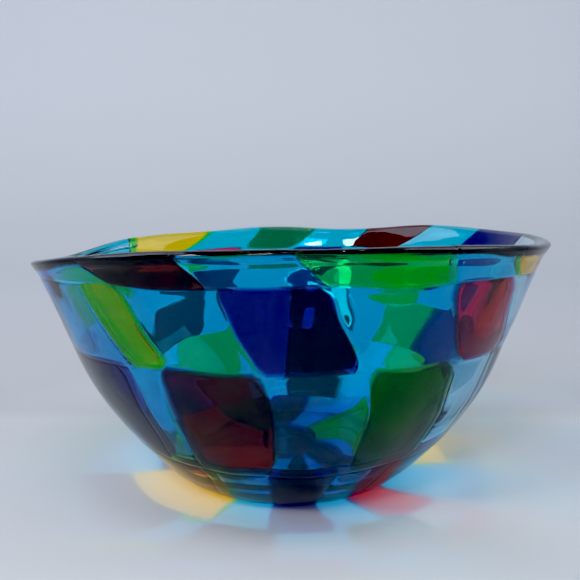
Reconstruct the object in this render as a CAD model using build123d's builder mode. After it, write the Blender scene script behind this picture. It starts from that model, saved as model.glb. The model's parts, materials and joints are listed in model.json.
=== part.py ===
from build123d import *
import os
from math import atan2, cos, degrees, hypot, radians, sin

# Blown patchwork glass bowl. Squares of coloured glass are fused edge to edge
# into one wall, so every square is its own solid and meets its neighbours
# along shared joint surfaces.
# Azimuth 0 is the front (-Y) and 90 is the right side (+X). Millimetres, +Z up.

# ---- driving dimensions ----
RIM_HEIGHT = 115.0          # mean height of the lip above the table
RIM_RADIUS = 120.0          # outside radius of the lip
LIP_WALL = 5.6              # wall thickness at the lip
HEEL_WALL = 8.4             # wall thickness low down, where the glass gathers
FLOOR_THICKNESS = 9.0       # glass under the hollow
LIP_ROUND = 2.3             # fire-polished rounding of the lip edges
DISC_RADIUS = 15.0          # closing disc in the middle of the floor

# outside wall as (height, radius), from the foot to above the lip
OUTER_WALL = (
    (0.0, 50.0), (2.0, 54.5), (6.0, 60.0), (14.0, 68.5), (29.0, 81.5),
    (49.0, 94.5), (73.0, 104.5), (96.0, 113.0), (RIM_HEIGHT, RIM_RADIUS),
    (132.0, 126.0), (150.0, 132.0),
)
OUTER_LEVELS = (0.0, 2.0, 6.0, 14.0, 29.0, 49.0, 73.0, 96.0, 112.0, 124.0)

# the hollow starts as a nearly flat floor and then follows the outside wall
HOLLOW_FLOOR = ((FLOOR_THICKNESS, 26.0), (FLOOR_THICKNESS + 1.2, 40.0))
HOLLOW_HEIGHTS = (9.5, 16.0, 24.0, 34.0, 48.0, 64.0, 82.0, 100.0, 117.0, 132.0, 145.0)
HOLLOW_LEVELS = (FLOOR_THICKNESS, FLOOR_THICKNESS + 1.2,
                 15.0, 22.0, 34.0, 52.0, 73.0, 96.0, 112.0, 126.0)

# lip wave: (cycles round the rim, height, azimuth of the first crest)
LIP_WAVES = ((1, 4.7, 93.0), (2, 2.8, -3.0), (3, 1.4, 100.0), (4, 0.7, 36.0))
LIP_RIPPLE = (7, 0.9, 184.0)    # short ripple, only along the back of the lip
WAVE_FADE = 60.0                # below this height the lip wave dies out

# joints between rows: (height, swing, azimuth of the highest point, slope)
SHOULDER_JOINT = (104.8, 1.2, 60.0, 0.32)
WAIST_JOINT = (72.3, 1.0, 20.0, 0.43)
HEEL_JOINT = (38.0, 12.5, 175.0, 0.75)
SOLE_JOINT = (12.5, 1.5, 270.0, 1.0)

# azimuths of the upright joints between squares, row by row
TOP_JOINTS = (-13, 7, 31, 50, 70, 96, 121, 142, 162, 179, 196, 215, 238, 277, 317, 327)
LOW_JOINTS = (-13, 9, 31, 51, 81, 113, 135, 145, 173, 206, 229, 273, 314, 324)
FOOT_JOINTS = (-35, -15, 6, 24, 47, 78, 121, 145, 173, 198, 221, 273)
UPPER_ONLY = 317            # joint that stops at the shoulder: one long square above it
RIM_ONLY = 70               # joint that starts at the shoulder: one long square below it
SOLE_SQUARES = ((121, 163), (163, 198), (221, 273))     # small squares let in under the heel
SHORT_FEET = (6, 7, 8, 10)  # places in the foot row of the squares that end above them

# how far an upright joint drifts round the bowl, as (height, degrees)
JOINT_DRIFT = ((-20.0, 6.0), (0.0, 6.0), (13.0, 7.0), (30.0, 8.5), (50.0, 9.0),
               (72.0, 7.5), (90.0, 3.0), (104.0, 0.0), (118.0, -2.0), (135.0, -3.0))

# spinning the lip pulled the top of each joint further round: degrees at the lip
LIP_SWEEPS = (4, 4, 1, 2, 3, 4, 5, 6, 6, 5, 4, 7, 4, 3, 6, 8)
SWEEP_START = 103.0         # height at which that pull sets in

# cutting tools run well clear of the glass
REACH = 170.0
TOP = 160.0
OUTLINE_STEP = 22.5         # degrees between the points of a wall outline
LIP_GRID = 24.0             # spacing of the points that shape the lip cutter
LIP_SLICES = (-132.0, -99.0, -66.0, -33.0, 0.0, 33.0, 66.0, 99.0, 132.0)


def curve(table, value):
    """Smooth curve through a table of (position, value) pairs."""
    last = len(table) - 1
    index = 0
    while index < last - 1 and value > table[index + 1][0]:
        index += 1
    x0, y0 = table[index]
    x1, y1 = table[index + 1]
    before = table[max(index - 1, 0)]
    after = table[min(index + 2, last)]
    span = x1 - x0
    slope0 = span * (y1 - before[1]) / (x1 - before[0])
    slope1 = span * (after[1] - y0) / (after[0] - x0)
    t = (value - x0) / span
    ends = y0 * (2 * t ** 3 - 3 * t ** 2 + 1) + y1 * (3 * t ** 2 - 2 * t ** 3)
    return ends + slope0 * (t ** 3 - 2 * t ** 2 + t) + slope1 * (t ** 3 - t ** 2)


def lip_height(azimuth, reach=1.0):
    """Height of the lip; reach is the distance from the axis over the lip radius."""
    height = RIM_HEIGHT
    for cycles, size, crest in LIP_WAVES:
        height += size * reach ** cycles * cos(cycles * radians(azimuth - crest))
    cycles, size, crest = LIP_RIPPLE
    at_back = (1 - cos(radians(azimuth))) / 2
    return height + size * at_back * reach ** cycles * cos(cycles * radians(azimuth - crest))


def wall_thickness(height):
    """Wall thickness, thinning from the heel to the lip."""
    share = min(height / RIM_HEIGHT, 1.0)
    return HEEL_WALL + (LIP_WALL - HEEL_WALL) * share ** 0.7


def inner_wall():
    """Inside wall as (height, radius), set in square to the outside wall."""
    table = list(HOLLOW_FLOOR)
    for height in HOLLOW_HEIGHTS:
        run = curve(OUTER_WALL, height + 0.5) - curve(OUTER_WALL, height - 0.5)
        inset = wall_thickness(height) / hypot(run, 1.0)
        table.append((height + inset * run, curve(OUTER_WALL, height) - inset))
    return table


def outline(table, height):
    """Closed outline of a wall at one height; the lip wave pulls the wall with it."""
    points = []
    fade = min(height / WAVE_FADE, 1.0)
    for step in range(round(360 / OUTLINE_STEP)):
        azimuth = step * OUTLINE_STEP
        stretch = 1 + fade * (RIM_HEIGHT / lip_height(azimuth) - 1)
        radius = curve(table, height * stretch)
        points.append((radius * sin(radians(azimuth)), -radius * cos(radians(azimuth))))
    return points


def closed_curve(points):
    """Smooth closed curve with evenly spaced knots, so that stacked curves match."""
    knots = [float(index) for index in range(len(points) + 1)]
    return Edge.make_spline(points, periodic=True, parameters=knots)


def open_curve(points):
    """Smooth open curve with evenly spaced knots."""
    knots = [float(index) for index in range(len(points))]
    return Edge.make_spline(points, parameters=knots)


def joint_cone(joint):
    """Solid filling everything above a row joint, cut square to the glass wall."""
    height, swing, crest, slope = joint
    radius = curve(OUTER_WALL, height) - HEEL_WALL / 2
    lean = swing * (1 + slope ** 2) / radius
    axis = Vector(-lean * sin(radians(crest)), lean * cos(radians(crest)), 1)
    level = Plane(origin=(0, 0, height), x_dir=(1, 0, -axis.X), z_dir=axis)
    upright = Plane(origin=level.origin, x_dir=level.x_dir, z_dir=-level.y_dir)
    with BuildPart() as cone:
        with BuildSketch(upright):
            with BuildLine():
                Polyline((0, slope * radius), (REACH, slope * (radius - REACH)),
                         (REACH, TOP), (0, TOP), close=True)
            make_face()
        revolve(axis=Axis((0, 0, height), axis))
    return cone.part


def beyond_joint(azimuth, sweep):
    """Solid on the far side of an upright joint that drifts with height."""
    around = (cos(radians(azimuth)), sin(radians(azimuth)), 0)
    outward = (sin(radians(azimuth)), -cos(radians(azimuth)), 0)
    with BuildPart() as side:
        with BuildSketch(Plane(origin=(0, 0, 0), x_dir=around, z_dir=outward)):
            with BuildLine():
                points = []
                for height, drift in JOINT_DRIFT:
                    radius = curve(OUTER_WALL, max(height, 0.0)) - HEEL_WALL / 2
                    pulled = max(height - SWEEP_START, 0.0) / (RIM_HEIGHT - SWEEP_START)
                    aside = radius * sin(radians(drift - sweep * pulled))
                    points.append((aside, height))
                joint = Spline(*points)
                Polyline(joint @ 1, (REACH, points[-1][1]), (REACH, points[0][1]), joint @ 0)
            make_face()
        extrude(amount=REACH)
    return side.part


def cut_square(row, start, end, label):
    """Cut the square between two upright joints and write it as its own file."""
    with BuildPart() as square:
        add(row.part)
        add(start, mode=Mode.INTERSECT)
        add(end, mode=Mode.SUBTRACT)
    square.part.label = label
    export_step(square.part, f"parts/{label}.step")


def cut_ring(rows, joints, name):
    """Cut a full ring of squares, each from its own row solid."""
    sides = [beyond_joint(azimuth, sweep) for azimuth, sweep in joints]
    for index, row in enumerate(rows):
        after = sides[(index + 1) % len(sides)]
        cut_square(row, sides[index], after, f"{name}_square_{index + 1:02d}")


INNER_WALL = inner_wall()

with BuildPart() as outside:
    for level in OUTER_LEVELS:
        with BuildSketch(Plane.XY.offset(level)):
            with BuildLine():
                add(closed_curve(outline(OUTER_WALL, level)))
            make_face()
    loft()

with BuildPart() as hollow:
    for level in HOLLOW_LEVELS:
        with BuildSketch(Plane.XY.offset(level)):
            with BuildLine():
                add(closed_curve(outline(INNER_WALL, level)))
            make_face()
    loft()

# everything above the lip, with a wavy underside
with BuildPart() as above_lip:
    for depth in LIP_SLICES:
        with BuildSketch(Plane.XZ.offset(-depth)):
            with BuildLine():
                wave = []
                for step in range(-6, 7):
                    x = LIP_GRID * step
                    reach = min(hypot(x, depth) / RIM_RADIUS, 1.25)
                    wave.append((x, lip_height(degrees(atan2(x, -depth)), reach)))
                add(open_curve(wave))
                Polyline(wave[-1], (wave[-1][0], TOP), (wave[0][0], TOP), wave[0])
            make_face()
    loft()

with BuildPart() as glass:
    add(outside.part)
    add(hollow.part, mode=Mode.SUBTRACT)
    add(above_lip.part, mode=Mode.SUBTRACT)
    lip_edges = glass.edges().filter_by(lambda edge: edge.center().Z > 100)
    fillet(lip_edges, radius=LIP_ROUND)

above_shoulder = joint_cone(SHOULDER_JOINT)
above_waist = joint_cone(WAIST_JOINT)
above_heel = joint_cone(HEEL_JOINT)
above_sole = joint_cone(SOLE_JOINT)

with BuildPart() as disc_core:
    Cylinder(DISC_RADIUS, 2 * HEEL_JOINT[0])

with BuildPart() as rim_row:
    add(glass.part)
    add(above_shoulder, mode=Mode.INTERSECT)

with BuildPart() as upper_row:
    add(glass.part)
    add(above_waist, mode=Mode.INTERSECT)
    add(above_shoulder, mode=Mode.SUBTRACT)

with BuildPart() as lower_row:
    add(glass.part)
    add(above_heel, mode=Mode.INTERSECT)
    add(above_waist, mode=Mode.SUBTRACT)

with BuildPart() as foot_row:
    add(glass.part)
    add(above_heel, mode=Mode.SUBTRACT)
    add(disc_core.part, mode=Mode.SUBTRACT)

with BuildPart() as short_foot_row:
    add(foot_row.part)
    add(above_sole, mode=Mode.INTERSECT)

with BuildPart() as sole_row:
    add(foot_row.part)
    add(above_sole, mode=Mode.SUBTRACT)

with BuildPart() as base_disc:
    add(glass.part)
    add(disc_core.part, mode=Mode.INTERSECT)

os.makedirs("parts", exist_ok=True)
base_disc.part.label = "base_disc"
export_step(base_disc.part, "parts/base_disc.step")

top_joints = list(zip(TOP_JOINTS, LIP_SWEEPS))
rim_joints = [joint for joint in top_joints if joint[0] != UPPER_ONLY]
upper_joints = [joint for joint in top_joints if joint[0] != RIM_ONLY]
low_joints = [(azimuth, 0) for azimuth in LOW_JOINTS]
foot_joints = [(azimuth, 0) for azimuth in FOOT_JOINTS]
foot_rows = [short_foot_row if index in SHORT_FEET else foot_row for index in range(len(foot_joints))]
cut_ring([rim_row] * len(rim_joints), rim_joints, "rim")
cut_ring([upper_row] * len(upper_joints), upper_joints, "upper")
cut_ring([lower_row] * len(low_joints), low_joints, "lower")
cut_ring(foot_rows, foot_joints, "foot")
for index, (start, end) in enumerate(SOLE_SQUARES):
    cut_square(sole_row, beyond_joint(start, 0), beyond_joint(end, 0), f"sole_square_{index + 1:02d}")
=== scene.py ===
import json
import math
import random

import bmesh
import bpy
import numpy as np
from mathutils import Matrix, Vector


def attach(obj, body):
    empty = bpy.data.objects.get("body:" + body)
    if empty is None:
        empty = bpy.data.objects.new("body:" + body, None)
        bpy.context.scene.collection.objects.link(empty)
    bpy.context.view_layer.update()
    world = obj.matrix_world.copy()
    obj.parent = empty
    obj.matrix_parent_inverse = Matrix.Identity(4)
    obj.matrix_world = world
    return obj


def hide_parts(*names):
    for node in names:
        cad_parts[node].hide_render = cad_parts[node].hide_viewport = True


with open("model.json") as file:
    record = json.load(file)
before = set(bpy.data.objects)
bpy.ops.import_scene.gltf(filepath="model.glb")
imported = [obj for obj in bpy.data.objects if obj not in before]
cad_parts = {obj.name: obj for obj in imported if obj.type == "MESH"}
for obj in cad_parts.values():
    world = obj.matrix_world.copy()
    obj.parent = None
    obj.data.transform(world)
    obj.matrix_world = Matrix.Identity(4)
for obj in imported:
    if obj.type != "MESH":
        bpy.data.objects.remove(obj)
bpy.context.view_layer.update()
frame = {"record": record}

# Blown patchwork glass bowl: squares of coloured glass fused edge to edge.
# The form is worked out in millimetres, like the part, and the meshes are in metres.
# Azimuth 0 is the front (-Y) and 90 is the right side (+X).

MM = 0.001
SEED = 7

# ---- the form ----
RIM_HEIGHT = 115.0          # mean height of the lip above the table
RIM_RADIUS = 120.0          # outside radius of the lip
LIP_WALL = 5.6              # wall thickness at the lip
HEEL_WALL = 8.4             # wall thickness low down, where the glass gathers
WALL_TAPER = 0.7            # how early the wall thins out on its way up
FLOOR_THICKNESS = 9.0       # glass under the hollow
DISC_RADIUS = 15.0          # closing disc in the middle of the floor
LIP_EDGE = 2.2              # radius of the very edge of the lip
LIP_ROLL = 7.5              # height over which the inside face rolls out to that edge

# outside wall as (height, radius), from the foot to above the lip
OUTER_WALL = (
    (0.0, 50.0), (2.0, 54.5), (6.0, 60.0), (14.0, 68.5), (29.0, 81.5),
    (49.0, 94.5), (73.0, 104.5), (96.0, 113.0), (RIM_HEIGHT, RIM_RADIUS),
    (132.0, 126.0), (150.0, 132.0),
)
WALL_LEVELS = np.arange(126.0, 11.0, -3.0)      # heights at which the wall is measured off

# the heel, where the wall turns into the floor: (outside height, inside radius, inside height)
HEEL_TURN = ((8.0, 55.0, 13.8), (5.0, 50.5, 12.2), (2.4, 46.0, 11.2))
# the rounded edge of the foot: (outside radius and height, inside radius and height)
FOOT_EDGE = ((51.8, 0.7, 43.4, 10.8), (49.6, 0.0, 41.0, 10.5))
FLOOR_RADII = (45.0, 40.0, 34.0, 28.0, 22.0, 15.0, 8.0, 0.0)
HOLLOW_SHARE = 0.85         # radius of the hollow's floor over that of the foot under it
FLOOR_DISH = (46.0, 1.3)    # radius, and how much higher the hollow's floor is there

# lip wave: (cycles round the rim, height, azimuth of the first crest)
LIP_WAVES = ((1, 4.7, 93.0), (2, 2.8, -3.0), (3, 1.4, 100.0), (4, 0.7, 36.0))
LIP_RIPPLE = (7, 0.9, 184.0)    # short ripple, only along the back of the lip
WAVE_FADE = 60.0                # below this height the lip wave dies out

# joints between rows: (height, swing, azimuth of the highest point, slope)
SHOULDER_JOINT = (104.8, 1.2, 60.0, 0.32)
WAIST_JOINT = (72.3, 1.0, 20.0, 0.43)
HEEL_JOINT = (38.0, 12.5, 175.0, 0.75)
SOLE_JOINT = (12.5, 1.5, 270.0, 1.0)

# azimuths of the upright joints between squares, row by row
TOP_JOINTS = (-13, 7, 31, 50, 70, 96, 121, 142, 162, 179, 196, 215, 238, 277, 317, 327)
LOW_JOINTS = (-13, 9, 31, 51, 81, 113, 135, 145, 173, 206, 229, 273, 314, 324)
FOOT_JOINTS = (-35, -15, 6, 24, 47, 78, 121, 145, 173, 198, 221, 273)
UPPER_ONLY = 317            # joint that stops at the shoulder: one long square above it
RIM_ONLY = 70               # joint that starts at the shoulder: one long square below it
SOLE_SQUARES = ((121, 163), (163, 198), (221, 273))     # small squares let in under the heel
SHORT_FEET = (6, 7, 8, 10)  # places in the foot row of the squares that end above them

# how far an upright joint drifts round the bowl, as (height, degrees)
JOINT_DRIFT = ((-20.0, 6.0), (0.0, 6.0), (13.0, 7.0), (30.0, 8.5), (50.0, 9.0),
               (72.0, 7.5), (90.0, 3.0), (104.0, 0.0), (118.0, -2.0), (135.0, -3.0))

# spinning the lip pulled the top of each joint further round: degrees at the lip
LIP_SWEEPS = (4, 4, 1, 2, 3, 4, 5, 6, 6, 5, 4, 7, 4, 3, 6, 8)
SWEEP_START = 103.0         # height at which that pull sets in

# ---- surface detail ----
SEAM_GAP = 0.012            # hairline between neighbouring squares
SEAM_DEPTH = 0.10           # the shallow groove left where two squares fused
SEAM_WIDTH = 0.6
INNER_SEAM = 0.5            # depth of the groove on the inside face over that outside
SWELL = 0.10                # how far the middle of a square stands proud
HAND_WAVE = 0.30            # slow unevenness of free-blown glass
SWIRL_COUNT = 16
SWIRL_PACES = (0.6, 2.2)    # slowest and quickest of the waves that make it up
SWIRL_TURN = 0.05           # radians per millimetre of a wave of pace 1
SWIRL_SHIFT = 2.1           # sets the waves of the two faces apart
GROUND_HEIGHT = 7.0         # the foot is ground flat and true up to here
LIP_BEAD = 0.9              # the melted lip stands a little proud of the wall under it
BEAD_FADE = 3.0             # height over which that bead dies out
JOINT_WANDER = 0.9          # how far an upright joint strays from its smooth line
UPRIGHT_WAVES = ((0.6, 0.13, 1.0), (0.4, 0.29, 1.7))    # its waves: share, pace, shift
ROW_WANDER = 0.54           # the same for a joint between rows
ROW_WAVES = ((1.0, 9, 1), (0.6, 17, 2))                 # share, cycles round the bowl, shift
CORNER_MELT = (1.2, 4.6)    # how far the corners of a coloured square melted back
CORNER_REACH = 2.0          # length of a melted corner over its depth
CELL = 2.6                  # size of the mesh cells between the seams
EDGE_STEPS = (0.0, 0.3, 0.7, 1.3, 2.3)      # closer rows of cells along a seam
ROLL_STEPS = (0.0, 0.06, 0.2, 0.4, 0.7, 1.1, 1.6, 2.2, 2.9, 3.7, 4.6, 5.6, 6.7, 8.0)
LIP_STEPS = 10              # cells over the rounded lip
DISC_SPOKES = 72
DISC_RINGS = (0.12, 0.3, 0.5, 0.7, 0.86, 0.95, 0.98, 0.992, 1.0)


class Curve:
    """Smooth curve through (position, value) pairs."""

    def __init__(self, pairs):
        self.x = np.array([pair[0] for pair in pairs], float)
        self.y = np.array([pair[1] for pair in pairs], float)
        after = np.r_[1:len(pairs), len(pairs) - 1]
        before = np.r_[0, 0:len(pairs) - 1]
        self.slope = (self.y[after] - self.y[before]) / (self.x[after] - self.x[before])

    def __call__(self, value):
        value = np.asarray(value, float)
        index = np.clip(np.searchsorted(self.x, value, "right") - 1, 0, len(self.x) - 2)
        span = self.x[index + 1] - self.x[index]
        t = (value - self.x[index]) / span
        ends = self.y[index] * (2 * t ** 3 - 3 * t ** 2 + 1) + self.y[index + 1] * (3 * t ** 2 - 2 * t ** 3)
        leaving = span * self.slope[index] * (t ** 3 - 2 * t ** 2 + t)
        return ends + leaving + span * self.slope[index + 1] * (t ** 3 - t ** 2)


outer_wall = Curve(OUTER_WALL)
joint_drift = Curve(JOINT_DRIFT)


def lip_height(azimuth):
    height = RIM_HEIGHT
    for cycles, size, crest in LIP_WAVES:
        height = height + size * np.cos(cycles * np.radians(azimuth - crest))
    cycles, size, crest = LIP_RIPPLE
    at_back = (1 - np.cos(np.radians(azimuth))) / 2
    return height + size * at_back * np.cos(cycles * np.radians(azimuth - crest))


def wall_section():
    """Outside and inside points down the wall and across the floor.

    Four curves against the distance run: outside radius and height, inside
    radius and height.
    """
    pairs = []
    for height in WALL_LEVELS:
        flare = outer_wall(height + 0.5) - outer_wall(height - 0.5)
        share = min(height / RIM_HEIGHT, 1.0)
        thickness = HEEL_WALL + (LIP_WALL - HEEL_WALL) * share ** WALL_TAPER
        inset = thickness / math.hypot(flare, 1.0)
        radius = outer_wall(height)
        pairs.append((radius, height, radius - inset, height + inset * flare))
    for height, inner_radius, inner_height in HEEL_TURN:
        pairs.append((outer_wall(height), height, inner_radius, inner_height))
    pairs.extend(FOOT_EDGE)
    dish_radius, dish_height = FLOOR_DISH
    for radius in FLOOR_RADII:
        dished = dish_height * (radius / dish_radius) ** 2
        pairs.append((radius, 0.0, radius * HOLLOW_SHARE, FLOOR_THICKNESS + dished))
    pairs = np.array(pairs, float)
    steps = np.hypot(np.diff(pairs[:, 0]), np.diff(pairs[:, 1]))
    runs = np.r_[0, np.cumsum(steps)]
    return [Curve(list(zip(runs, column))) for column in pairs.T]


out_radius, out_height, in_radius, in_height = wall_section()
RUNS = np.linspace(0, out_radius.x[-1], 4001)


def run_at(column, value):
    """Distance down the section at which a falling column reaches a value."""
    return float(np.interp(-value, -column(RUNS), RUNS))


def glass_point(azimuth, run, depth):
    """Points in the glass: depth 0 on the outside face, 1 on the inside face."""
    radius = out_radius(run) * (1 - depth) + in_radius(run) * depth
    flat = out_height(run) * (1 - depth) + in_height(run) * depth
    pull = RIM_HEIGHT / lip_height(azimuth) - 1
    pull = np.where(np.abs(pull) < 1e-7, 1e-7, pull)
    low = WAVE_FADE * (np.sqrt(1 + 4 * pull * flat / WAVE_FADE) - 1) / (2 * pull)
    height = np.where(low < WAVE_FADE, low, flat / (1 + pull))
    angle = np.radians(azimuth)
    return np.stack([radius * np.sin(angle), -radius * np.cos(angle), height], -1)


def above_joint(joint, point):
    """Positive where a point lies above a row joint."""
    height, swing, crest, slope = joint
    radius = float(outer_wall(height)) - HEEL_WALL / 2
    lean = swing * (1 + slope ** 2) / radius
    crest = math.radians(crest)
    axis = np.array([-lean * math.sin(crest), lean * math.cos(crest), 1.0])
    axis /= np.linalg.norm(axis)
    place = point - np.array([0, 0, height])
    along = place @ axis
    across = np.linalg.norm(place - along[..., None] * axis, axis=-1)
    return along - slope * (radius - across)


class RowEdge:
    """Where a row joint crosses the outside and inside faces, all the way round."""

    def __init__(self, joint):
        self.azimuths = np.arange(-360.0, 721.0, 3.0)
        self.runs = {}
        for depth in (0, 1):
            low = np.zeros(len(self.azimuths))
            high = np.full(len(self.azimuths), run_at(out_radius, 45.0))
            for _ in range(26):
                middle = (low + high) / 2
                above = above_joint(joint, glass_point(self.azimuths, middle, depth)) > 0
                low = np.where(above, middle, low)
                high = np.where(above, high, middle)
            self.runs[depth] = low
        self.phase = joint[0]

    def __call__(self, azimuth, depth):
        turn = np.radians(azimuth)
        wander = sum(size * np.sin(cycles * turn + shift * self.phase) for size, cycles, shift in ROW_WAVES)
        return np.interp(azimuth, self.azimuths, self.runs[depth]) + ROW_WANDER * wander


class LevelEdge:
    """A row edge at the same distance down the section all the way round."""

    def __init__(self, outside_run, inside_run):
        self.runs = (outside_run, inside_run)

    def __call__(self, azimuth, depth):
        return self.runs[depth] + 0.0 * azimuth


def joint_azimuth(joint, point):
    """Azimuth of an upright joint at the height and radius of each point."""
    azimuth, sweep = joint
    height = point[..., 2]
    level = outer_wall(np.maximum(height, 0.0)) - HEEL_WALL / 2
    pulled = np.maximum(height - SWEEP_START, 0.0) / (RIM_HEIGHT - SWEEP_START)
    aside = level * np.sin(np.radians(joint_drift(height) - sweep * pulled))
    phase = azimuth % 360 * 0.71
    for size, pace, shift in UPRIGHT_WAVES:
        aside = aside + JOINT_WANDER * size * np.sin(height * pace + phase * shift)
    radius = np.maximum(np.hypot(point[..., 0], point[..., 1]), np.abs(aside) + 1.0)
    return azimuth + np.degrees(np.arcsin(aside / radius))


rng = random.Random(SEED)
SWIRLS = [
    (np.array([rng.gauss(0, 1) for _ in range(3)]), rng.uniform(0, math.tau), rng.uniform(*SWIRL_PACES))
    for _ in range(SWIRL_COUNT)
]


def unevenness(point, face):
    """Slow waves left in the glass by hand work, about -1 to 1."""
    total = np.zeros(point.shape[:-1])
    for index, (direction, phase, pace) in enumerate(SWIRLS):
        total += np.sin(point @ direction * SWIRL_TURN * pace + phase + face * SWIRL_SHIFT * index)
    return total / math.sqrt(len(SWIRLS))


def spaced(length, first=EDGE_STEPS):
    """Positions from 0 to 1 along a length, close together at both ends."""
    start = [step / length for step in first if step < 0.6 * length]
    end = [1 - step / length for step in reversed(EDGE_STEPS)]
    count = max(round((end[0] - start[-1]) * length / CELL), 2)
    middle = np.linspace(start[-1], end[0], count + 1)[1:-1]
    return np.array(start + list(middle) + end)


def relief(point, near, across, down, face):
    """How far the face of a square is moved into the glass."""
    groove = SEAM_DEPTH * np.exp(-(near / SEAM_WIDTH) ** 2) * (INNER_SEAM if face else 1.0)
    swell = SWELL * (1 - (2 * across - 1) ** 4) * (1 - (2 * down - 1) ** 4)
    off_table = 1.0 if face else np.clip(point[..., 2] / GROUND_HEIGHT, 0, 1)
    return off_table * (groove - swell + HAND_WAVE * unevenness(point, face))


class Square:
    """One fused square of glass between two upright joints and two row edges."""

    def __init__(self, left, right, upper, lower, row, melts):
        self.has_lip = row == "rim"
        self.ends = (row != "rim", row not in ("foot", "sole"))
        self.melts = (0.0, 0.0)     # the size is taken before the corners melt
        self.left = left
        self.right = (right[0] + (360 if right[0] < left[0] else 0), right[1])
        self.middle = (self.left[0] + self.right[0]) / 2
        self.upper = upper
        self.lower = lower
        centre = self.place(np.array(0.5), np.array(0.5), 0)
        turn = math.radians(self.right[0] - self.left[0])
        self.width = turn * math.hypot(centre[0], centre[1])
        self.height = float(self.lower(self.middle, 0) - self.upper(self.middle, 0))
        self.melts = melts

    def melted(self, side, down):
        """How far melted corners pull one upright joint round the bowl, in millimetres."""
        melt = self.melts[side]
        if melt == 0.0:
            return 0.0
        reach = CORNER_REACH * abs(melt)
        pull = 0.0
        for at_end, distance in zip(self.ends, (down * self.height, (1 - down) * self.height)):
            if at_end:
                pull = pull + np.maximum(1 - distance / reach, 0.0) ** 2
        return melt * pull

    def place(self, across, down, depth):
        """Points at a share across and down the square, on one face."""
        azimuth = np.full(np.shape(across), self.middle)
        for _ in range(6):
            top = self.upper(azimuth, depth)
            bottom = self.lower(azimuth, depth)
            slack = SEAM_GAP / np.maximum(bottom - top, 1.0)
            run = top + (bottom - top) * (slack + (1 - 2 * slack) * down)
            point = glass_point(azimuth, run, depth)
            radius = np.hypot(point[..., 0], point[..., 1])
            start = joint_azimuth(self.left, point)
            start = start + np.degrees((self.melted(0, down) + SEAM_GAP) / radius)
            end = joint_azimuth(self.right, point)
            end = end + np.degrees((self.melted(1, down) - SEAM_GAP) / radius)
            azimuth = start + (end - start) * across
        return glass_point(azimuth, run, depth)

    def faces(self):
        """Grids of points on the outside and inside faces, top row first."""
        first = ROLL_STEPS if self.has_lip else EDGE_STEPS
        across, down = np.meshgrid(spaced(self.width), spaced(self.height, first))
        sides = np.minimum(across, 1 - across) * self.width
        below = (1 - down) * self.height
        near = np.minimum(sides, below)
        if not self.has_lip:
            near = np.minimum(near, down * self.height)
        plain = [self.place(across, down, face) for face in (0, 1)]
        inward = plain[1] - plain[0]
        inward /= np.linalg.norm(inward, axis=-1)[..., None]
        move = [relief(plain[face], near, across, down, face) for face in (0, 1)]
        if self.has_lip:
            below_edge = down * self.height
            bead = LIP_BEAD * np.exp(-(below_edge / BEAD_FADE) ** 2)
            short = np.clip(1 - below_edge / LIP_ROLL, 0, 1)
            roll = (LIP_WALL - 2 * LIP_EDGE) * (1 - np.sqrt(1 - short ** 2))
            move = [move[0] - bead, move[1] + roll]
        return plain[0] + inward * move[0][..., None], plain[1] - inward * move[1][..., None]


def lip_rows(outside, inside):
    """Rows of points that carry the wall over the rounded lip, from outside to inside."""
    top_out, top_in = outside[0], inside[0]
    middle = (top_out + top_in) / 2
    upward = top_out - outside[3] + top_in - inside[3]
    upward /= np.linalg.norm(upward, axis=-1)[..., None]
    half = (top_out - top_in) / 2
    rise = np.linalg.norm(half, axis=-1)[..., None]
    rows = []
    for step in range(1, LIP_STEPS):
        angle = math.pi * step / LIP_STEPS
        rows.append(middle + half * math.cos(angle) + upward * rise * math.sin(angle))
    return rows


def close_mesh(name, points, polished, seams):
    """Mesh object from points in millimetres; seam faces carry the seam mark."""
    mesh = bpy.data.meshes.new(name)
    mesh.from_pydata([tuple(point) for point in np.asarray(points) * MM], [], polished + seams)
    mesh.update()
    mark = mesh.attributes.new("seam", "FLOAT", "FACE")
    values = [0.0] * len(polished) + [1.0] * len(seams)
    mark.data.foreach_set("value", values)
    obj = bpy.data.objects.new(name, mesh)
    bpy.context.scene.collection.objects.link(obj)
    work = bmesh.new()
    work.from_mesh(mesh)
    layer = work.faces.layers.float["seam"]
    for edge in work.edges:
        marks = {face[layer] > 0.5 for face in edge.link_faces}
        edge.smooth = len(marks) == 1 and True not in marks
    for face in work.faces:
        face.smooth = True
    bmesh.ops.recalc_face_normals(work, faces=work.faces)
    work.to_mesh(mesh)
    work.free()
    return obj


def square_mesh(name, square):
    outside, inside = square.faces()
    rows = list(outside[::-1])
    if square.has_lip:
        rows += lip_rows(outside, inside)
    rows += list(inside)
    count = len(rows)
    columns = len(rows[0])
    points = np.concatenate(rows)

    def at(row, column):
        return (row % count) * columns + column

    polished, seams = [], []
    tall = len(outside)
    for row in range(count):
        is_seam = row == count - 1 or (not square.has_lip and row == tall - 1)
        for column in range(columns - 1):
            quad = [at(row, column), at(row, column + 1), at(row + 1, column + 1), at(row + 1, column)]
            (seams if is_seam else polished).append(quad)
    for column in (0, columns - 1):
        for row in range(tall - 1):
            opposite = count - 1 - row
            near_side = [at(row, column), at(row + 1, column)]
            far_side = [at(opposite - 1, column), at(opposite, column)]
            seams.append(near_side + far_side)
        if square.has_lip:
            seams.append([at(row, column) for row in range(tall - 1, count - tall + 1)])
    return close_mesh(name, points, polished, seams)


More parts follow.
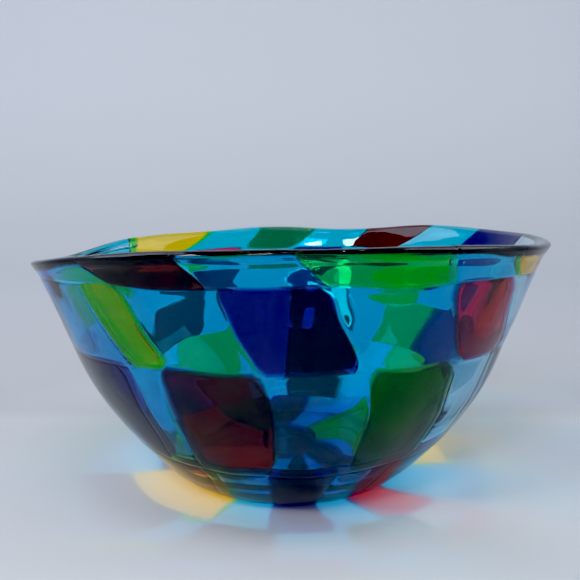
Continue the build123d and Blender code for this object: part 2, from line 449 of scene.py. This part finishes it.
def disc_mesh(name):
    """The disc that closes the floor, with its flat underside."""
    spokes = DISC_SPOKES
    azimuth = np.arange(spokes) * 360.0 / spokes
    edge = DISC_RADIUS - SEAM_GAP
    rows = []
    for face, column in ((0, out_radius), (1, in_radius)):
        for share in DISC_RINGS:
            run = run_at(column, edge * share)
            point = glass_point(azimuth, np.full(spokes, run), face)
            near = np.full(spokes, edge * (1 - share))
            inside = np.full(spokes, 0.5)
            move = relief(point, near, inside, inside, face)
            if face:
                point[:, 2] -= move
            rows.append(point)
    points = np.concatenate(rows + [np.array([[0, 0, 0.0]]), np.array([[0, 0, FLOOR_THICKNESS]])])
    ring = len(DISC_RINGS)
    polished, seams = [], []
    for spoke in range(spokes):
        after = (spoke + 1) % spokes
        for level in range(ring - 1):
            for base in (0, ring):
                first, second = (base + level) * spokes, (base + level + 1) * spokes
                polished.append([first + spoke, first + after, second + after, second + spoke])
        polished.append([spoke, after, 2 * ring * spokes])
        polished.append([ring * spokes + spoke, ring * spokes + after, 2 * ring * spokes + 1])
        low, high = (ring - 1) * spokes, (2 * ring - 1) * spokes
        seams.append([low + spoke, low + after, high + after, high + spoke])
    return close_mesh(name, points, polished, seams)


# ---- materials ----
# What each glass takes off in red, green and blue, per metre of glass
GLASS_TAKES = {
    "aqua_glass": (950.0, 62.0, 17.0),
    "cobalt_glass": (1100.0, 640.0, 200.0),
    "green_glass": (850.0, 66.0, 330.0),
    "deep_green_glass": (900.0, 205.0, 340.0),
    "yellow_glass": (5.0, 48.0, 1000.0),
    "ruby_glass": (50.0, 560.0, 290.0),
    "deep_ruby_glass": (330.0, 1100.0, 800.0),
    "amethyst_glass": (205.0, 540.0, 370.0),
    "clear_glass": (60.0, 22.0, 9.0),
}
GROUND_GLASS = ("aqua_glass", "clear_glass")    # the coloured squares sit in these
GLASS_INDEX = 1.5
STREAK_STRETCH = (1.0, 1.0, 0.25)   # streaks run up the wall
STREAK_SCALE = 60.0
STREAK_RANGE = (0.45, 0.75)
STREAK_DEPTH = 0.0006       # extra glass that a streak is worth, in metres
BODY_TINT = 0.99            # what the surface lets through where there is no streak
SMEAR_SCALE = 22.0
SMEAR_RANGE = (0.58, 0.8)
SMEAR_ROUGHNESS = 0.03
WAVE_SCALE = 90.0
WAVE_HEIGHT = 0.00006
SEED_SCALE = 110.0          # seeds are tiny bubbles at the surface
SEED_SIZE = 0.035
SEED_HEIGHT = 2.0


def node(tree, kind, **inputs):
    made = tree.nodes.new(kind)
    for name, value in inputs.items():
        made.inputs[name.replace("_", " ")].default_value = value
    return made


def noise(tree, vector, scale, detail):
    made = node(tree, "ShaderNodeTexNoise", Scale=scale, Detail=detail, Roughness=0.5)
    tree.links.new(vector, made.inputs["Vector"])
    return made.outputs["Fac"]


def remap(tree, value, low, high, to_low, to_high):
    made = node(tree, "ShaderNodeMapRange", From_Min=low, From_Max=high, To_Min=to_low, To_Max=to_high)
    tree.links.new(value, made.inputs["Value"])
    return made.outputs["Result"]


def arithmetic(tree, operation, first, second):
    made = tree.nodes.new("ShaderNodeMath")
    made.operation = operation
    for socket, value in zip(made.inputs, (first, second)):
        if isinstance(value, float):
            socket.default_value = value
        else:
            tree.links.new(value, socket)
    return made.outputs["Value"]


def glass_material(slot):
    """Clear-bodied coloured glass: polished faces bend light, fused joints don't.

    Lamp light passes straight through and takes the colour of the glass with it.
    """
    material = bpy.data.materials.new(slot)
    material.use_nodes = True
    tree = material.node_tree
    tree.nodes.clear()
    out = tree.nodes.new("ShaderNodeOutputMaterial")
    body = node(tree, "ShaderNodeBsdfPrincipled", Transmission_Weight=1.0)
    let_through = tree.nodes.new("ShaderNodeBsdfTransparent")
    lamp_light = tree.nodes.new("ShaderNodeLightPath").outputs["Is Shadow Ray"]
    surface = tree.nodes.new("ShaderNodeMixShader")
    tree.links.new(lamp_light, surface.inputs["Fac"])
    tree.links.new(body.outputs["BSDF"], surface.inputs[1])
    tree.links.new(let_through.outputs["BSDF"], surface.inputs[2])
    tree.links.new(surface.outputs["Shader"], out.inputs["Surface"])
    place = tree.nodes.new("ShaderNodeTexCoord").outputs["Object"]

    seam = tree.nodes.new("ShaderNodeAttribute")
    seam.attribute_name = "seam"
    polished = remap(tree, seam.outputs["Fac"], 0.0, 1.0, 1.0, 0.0)
    bend = remap(tree, polished, 0.0, 1.0, 1.0, GLASS_INDEX)
    tree.links.new(bend, body.inputs["IOR"])

    # drawn-out streaks of slightly deeper glass
    stretch = node(tree, "ShaderNodeMapping", Scale=STREAK_STRETCH)
    tree.links.new(place, stretch.inputs["Vector"])
    streaks = noise(tree, stretch.outputs["Vector"], STREAK_SCALE, 3.0)
    streak = remap(tree, streaks, *STREAK_RANGE, 0.0, 1.0)
    tint = tree.nodes.new("ShaderNodeMix")
    tint.data_type = "RGBA"
    tint.inputs["A"].default_value = (BODY_TINT, BODY_TINT, BODY_TINT, 1)
    taken = GLASS_TAKES[slot]
    tint.inputs["B"].default_value = (*[math.exp(-value * STREAK_DEPTH) for value in taken], 1)
    tree.links.new(arithmetic(tree, "MULTIPLY", streak, polished), tint.inputs["Factor"])
    tree.links.new(tint.outputs["Result"], body.inputs["Base Color"])

    # fire polish with a few handling smears
    smear = remap(tree, noise(tree, place, SMEAR_SCALE, 4.0), *SMEAR_RANGE, 0.0, SMEAR_ROUGHNESS)
    tree.links.new(arithmetic(tree, "MULTIPLY", smear, polished), body.inputs["Roughness"])

    # soft tooling waves, and seeds: tiny bubbles that break the surface
    waves = noise(tree, place, WAVE_SCALE, 1.0)
    cells = node(tree, "ShaderNodeTexVoronoi", Scale=SEED_SCALE, Randomness=1.0)
    tree.links.new(place, cells.inputs["Vector"])
    seeds = remap(tree, cells.outputs["Distance"], 0.0, SEED_SIZE, SEED_HEIGHT, 0.0)
    bump = node(tree, "ShaderNodeBump", Strength=1.0, Distance=WAVE_HEIGHT)
    height = arithmetic(tree, "MULTIPLY", arithmetic(tree, "ADD", waves, seeds), polished)
    tree.links.new(height, bump.inputs["Height"])
    tree.links.new(bump.outputs["Normal"], body.inputs["Normal"])

    strongest = max(taken)
    volume = tree.nodes.new("ShaderNodeVolumeAbsorption")
    volume.inputs["Density"].default_value = strongest
    volume.inputs["Color"].default_value = (*[1 - value / strongest for value in taken], 1)
    tree.links.new(volume.outputs["Volume"], out.inputs["Volume"])
    return material


# ---- build the bowl ----
lip_run = run_at(out_height, RIM_HEIGHT) + LIP_EDGE
lip_edge = LevelEdge(lip_run, lip_run)
disc_edge = LevelEdge(run_at(out_radius, DISC_RADIUS), run_at(in_radius, DISC_RADIUS))
shoulder_edge = RowEdge(SHOULDER_JOINT)
waist_edge = RowEdge(WAIST_JOINT)
heel_edge = RowEdge(HEEL_JOINT)
sole_edge = RowEdge(SOLE_JOINT)

top_joints = list(zip(TOP_JOINTS, LIP_SWEEPS))
rim_joints = [joint for joint in top_joints if joint[0] != UPPER_ONLY]
upper_joints = [joint for joint in top_joints if joint[0] != RIM_ONLY]
low_joints = [(azimuth, 0) for azimuth in LOW_JOINTS]
foot_joints = [(azimuth, 0) for azimuth in FOOT_JOINTS]
foot_ends = [sole_edge if index in SHORT_FEET else disc_edge for index in range(len(foot_joints))]
ROWS = (
    ("rim", rim_joints, lip_edge, [shoulder_edge] * len(rim_joints)),
    ("upper", upper_joints, shoulder_edge, [waist_edge] * len(upper_joints)),
    ("lower", low_joints, waist_edge, [heel_edge] * len(low_joints)),
    ("foot", foot_joints, heel_edge, foot_ends),
)
materials = {slot: glass_material(slot) for slot in GLASS_TAKES}
slot_of = {part["node"]: part["material_slot"] for part in frame["record"]["subparts"]}


def hand_over(piece, node_name):
    """The piece stands for its CAD node, rides with it and takes its glass."""
    slot = slot_of[node_name]
    piece.data.materials.append(materials[slot])
    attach(piece, "root")
    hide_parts(node_name)


def corner_melts(labels):
    """Pull of the melted corners on the joint before each square of a row."""
    melts = []
    sizes = {label: rng.uniform(*CORNER_MELT) for label in labels}
    for index, label in enumerate(labels):
        before = labels[index - 1]
        grounds = [slot_of[name] in GROUND_GLASS for name in (before, label)]
        if grounds == [True, False]:
            melts.append(sizes[label])
        elif grounds == [False, True]:
            melts.append(-sizes[before])
        else:
            melts.append(0.0)
    return melts


for row, joints, upper, lower_edges in ROWS:
    labels = [f"{row}_square_{index + 1:02d}" for index in range(len(joints))]
    melts = corner_melts(labels)
    for index, label in enumerate(labels):
        after = (index + 1) % len(joints)
        pulls = (melts[index], melts[after])
        square = Square(joints[index], joints[after], upper, lower_edges[index], row, pulls)
        hand_over(square_mesh("glass_" + label, square), label)
for index, (start, end) in enumerate(SOLE_SQUARES):
    label = f"sole_square_{index + 1:02d}"
    square = Square((start, 0), (end, 0), sole_edge, disc_edge, "sole", (0.0, 0.0))
    hand_over(square_mesh("glass_" + label, square), label)
hand_over(disc_mesh("glass_base_disc"), "base_disc")


# ---- floor and backdrop ----
# Painted light and shade on the paper: the grey steps down to a painted shade line about 72 mm behind the
# bowl's centre, and is painted brighter towards the back and up the backdrop.
PAPER_PAINTED_SHADES = (            # (place from front to back, grey)
    (0.0, 0.66), (0.20, 0.62), (0.229, 0.60), (0.232, 0.54), (0.28, 0.56),
    (0.44, 0.62), (0.72, 0.69), (0.88, 0.80), (1.0, 0.83),
)
SHADES_FROM, SHADES_TO = -0.5, 2.0      # where those shades start and end, along Y
PAINTED_LIGHT_PATCH = (0.07, 0.24, 0.16)        # painted pool of light, brighter paper round the bowl: full to, gone at, size
PAPER_ROUGHNESS = 0.75
PAPER_SHINE = 0.2
PAPER_HALF_WIDTH = 9.0
PAPER_FRONT = -2.5
CURL_FROM = 0.9             # where the paper starts to curl up behind the bowl
CURL_RADIUS = 0.9
CURL_STEPS = 12
PAPER_TOP = 3.0
PAPER_DROP = 0.0003         # keeps the foot clear of the paper


def paper_material():
    """Matt paper with painted light and shade: a painted shade line behind the bowl, grey painted lighter
    towards the back, and a painted pool of light round the bowl.
    """
    material = bpy.data.materials.new("paper")
    material.use_nodes = True
    tree = material.node_tree
    shader = tree.nodes["Principled BSDF"]
    shader.inputs["Roughness"].default_value = PAPER_ROUGHNESS
    shader.inputs["Specular IOR Level"].default_value = PAPER_SHINE
    place = tree.nodes.new("ShaderNodeNewGeometry").outputs["Position"]
    split = tree.nodes.new("ShaderNodeSeparateXYZ")
    tree.links.new(place, split.inputs["Vector"])
    # painted shade line and painted brightening towards the back, from the grey steps along Y
    ramp = tree.nodes.new("ShaderNodeValToRGB")
    along = remap(tree, split.outputs["Y"], SHADES_FROM, SHADES_TO, 0.0, 1.0)
    tree.links.new(along, ramp.inputs["Fac"])
    stops = ramp.color_ramp.elements
    stops[0].position = PAPER_PAINTED_SHADES[0][0]
    stops[1].position = PAPER_PAINTED_SHADES[-1][0]
    for position, _ in PAPER_PAINTED_SHADES[1:-1]:
        stops.new(position)
    for stop, (_, grey) in zip(stops, PAPER_PAINTED_SHADES):
        stop.color = (grey, grey, grey, 1)
    distance = tree.nodes.new("ShaderNodeVectorMath")
    distance.operation = "LENGTH"
    tree.links.new(place, distance.inputs[0])
    full_to, gone_at, size = PAINTED_LIGHT_PATCH
    # painted light: a pool of light painted on the paper round the bowl, lifting the shadow in front of and
    # under it
    painted_light = remap(tree, distance.outputs["Value"], full_to, gone_at, size, 0.0)
    shade = arithmetic(tree, "ADD", ramp.outputs["Color"], painted_light)
    tree.links.new(shade, shader.inputs["Base Color"])
    return material


def sweep():
    """Paper sweep: floor that curves up into a backdrop far behind the bowl."""
    line = [(PAPER_FRONT, 0.0), (-0.5, 0.0), (0.5, 0.0), (CURL_FROM, 0.0)]
    for step in range(1, CURL_STEPS + 1):
        angle = math.radians(90 * step / CURL_STEPS)
        rise = CURL_RADIUS * (1 - math.cos(angle))
        line.append((CURL_FROM + CURL_RADIUS * math.sin(angle), rise))
    line.append((CURL_FROM + CURL_RADIUS, PAPER_TOP))
    mesh = bpy.data.meshes.new("sweep")
    points = [(x, y, z) for y, z in line for x in (-PAPER_HALF_WIDTH, PAPER_HALF_WIDTH)]
    faces = [(2 * i, 2 * i + 1, 2 * i + 3, 2 * i + 2) for i in range(len(line) - 1)]
    mesh.from_pydata(points, [], faces)
    mesh.update()
    for face in mesh.polygons:
        face.use_smooth = True
    paper = bpy.data.objects.new("sweep", mesh)
    paper.location.z = -PAPER_DROP
    bpy.context.scene.collection.objects.link(paper)
    mesh.materials.append(paper_material())


# ---- light ----
ROOM_COLOR = (0.73, 0.80, 0.96, 1)
ROOM_DARK = 0.72            # the dimmer room in front of the bowl
ROOM_BRIGHT = 1.05
CEILING = 0.35              # the ceiling over the bowl is dim, so the lip stays dark
SKY = (0.78, 0.86, 1.0)
LAMP = (0.95, 0.97, 1.0)
WINDOW = (0.94, 0.97, 1.0)

# name, place, target, size, watts, colour, seen mirrored in the glass
AREA_LIGHTS = (
    ("left softbox", (-1.5, 0.3, 1.7), (0, 0, 0), (1.3, 1.3), 15.3, SKY, True),
    ("right softbox", (1.5, 0.3, 1.7), (0, 0, 0), (1.3, 1.3), 11.2, SKY, True),
    ("window", (-0.8, -0.8, 0.93), (0, 0, 0.08), (0.2, 0.26), 3.0, WINDOW, True),
    ("far window", (-0.25, -1.05, 1.0), (0, 0, 0.08), (0.22, 0.22), 3.0, WINDOW, True),
    ("overhead", (0.05, -0.1, 1.2), (0, 0, 0), (0.8, 0.8), 1.0, LAMP, False),
    ("near strip", (0, -0.42, 1.2), (0, 0, 0), (0.7, 0.008), 0.8, LAMP, True),
    ("far strip", (0, -0.12, 1.2), (0, 0, 0), (0.7, 0.008), 0.8, LAMP, True),
)
# name, place, target, radius, watts, cone in degrees, softness of the cone's edge
SPOT_LIGHTS = (
    ("into the bowl", (0.02, -0.06, 1.2), (0, 0, 0.05), 0.08, 105.0, 5.0, 0.7),
    ("front pool", (0.0, -0.5, 1.1), (0, -0.15, 0), 0.1, 9.0, 15.0, 1.0),
)


def hang_lamp(data, place, target, mirrored):
    """Lamps shine from outside the view, so the camera never sees one itself."""
    lamp = bpy.data.objects.new(data.name, data)
    lamp.location = place
    lamp.rotation_euler = (Vector(target) - Vector(place)).to_track_quat("-Z", "Y").to_euler()
    lamp.visible_camera = False
    lamp.visible_glossy = mirrored
    bpy.context.scene.collection.objects.link(lamp)


def area_light(name, place, target, size, power, color, mirrored):
    data = bpy.data.lights.new(name, "AREA")
    data.shape = "RECTANGLE"
    data.size, data.size_y = size
    data.energy = power
    data.color = color
    hang_lamp(data, place, target, mirrored)


def spot_light(name, place, target, radius, power, cone, blend):
    data = bpy.data.lights.new(name, "SPOT")
    data.shadow_soft_size = radius
    data.energy = power
    data.spot_size = math.radians(cone)
    data.spot_blend = blend
    hang_lamp(data, place, target, False)


def room_light():
    """A pale room, brighter behind the bowl than in front of it and overhead."""
    world = bpy.data.worlds.new("studio")
    world.use_nodes = True
    room = world.node_tree
    facing = room.nodes.new("ShaderNodeTexCoord").outputs["Generated"]
    split = room.nodes.new("ShaderNodeSeparateXYZ")
    room.links.new(facing, split.inputs["Vector"])
    behind = remap(room, split.outputs["Y"], -0.35, 0.55, ROOM_DARK, ROOM_BRIGHT)
    overhead = remap(room, split.outputs["Z"], 0.3, 0.8, 1.0, CEILING)
    background = room.nodes["Background"]
    background.inputs["Color"].default_value = ROOM_COLOR
    room.links.new(arithmetic(room, "MULTIPLY", behind, overhead), background.inputs["Strength"])
    bpy.context.scene.world = world


sweep()
room_light()
for lamp_values in AREA_LIGHTS:
    area_light(*lamp_values)
for lamp_values in SPOT_LIGHTS:
    spot_light(*lamp_values)

# ---- camera: a hand-held view from just above the lip ----
CAMERA_DISTANCE = 0.324
CAMERA_HEIGHT = 0.1317
CAMERA_DIP = 7.34           # degrees below level
LENS = 40.2                 # on a 36 mm wide sensor
SENSOR = 36.0


def hand_held_camera():
    data = bpy.data.cameras.new("camera")
    data.lens = LENS
    data.sensor_width = SENSOR
    camera = bpy.data.objects.new("camera", data)
    camera.location = (0, -CAMERA_DISTANCE, CAMERA_HEIGHT)
    camera.rotation_euler = (math.radians(90 - CAMERA_DIP), 0, 0)
    bpy.context.scene.collection.objects.link(camera)
    return camera


scene = bpy.context.scene
scene.camera = hand_held_camera()

# ---- colour management, and enough bounces for light to cross the glass ----
BLACK_LEVEL = (0.03, 0.03, 0.03)
scene.view_settings.view_transform = "Standard"
scene.view_settings.use_curve_mapping = True
scene.view_settings.curve_mapping.black_level = BLACK_LEVEL
scene.view_settings.curve_mapping.update()
scene.cycles.max_bounces = 40
scene.cycles.transmission_bounces = 40
scene.cycles.glossy_bounces = 12
scene.cycles.diffuse_bounces = 4
scene.cycles.caustics_refractive = False
scene.cycles.caustics_reflective = False
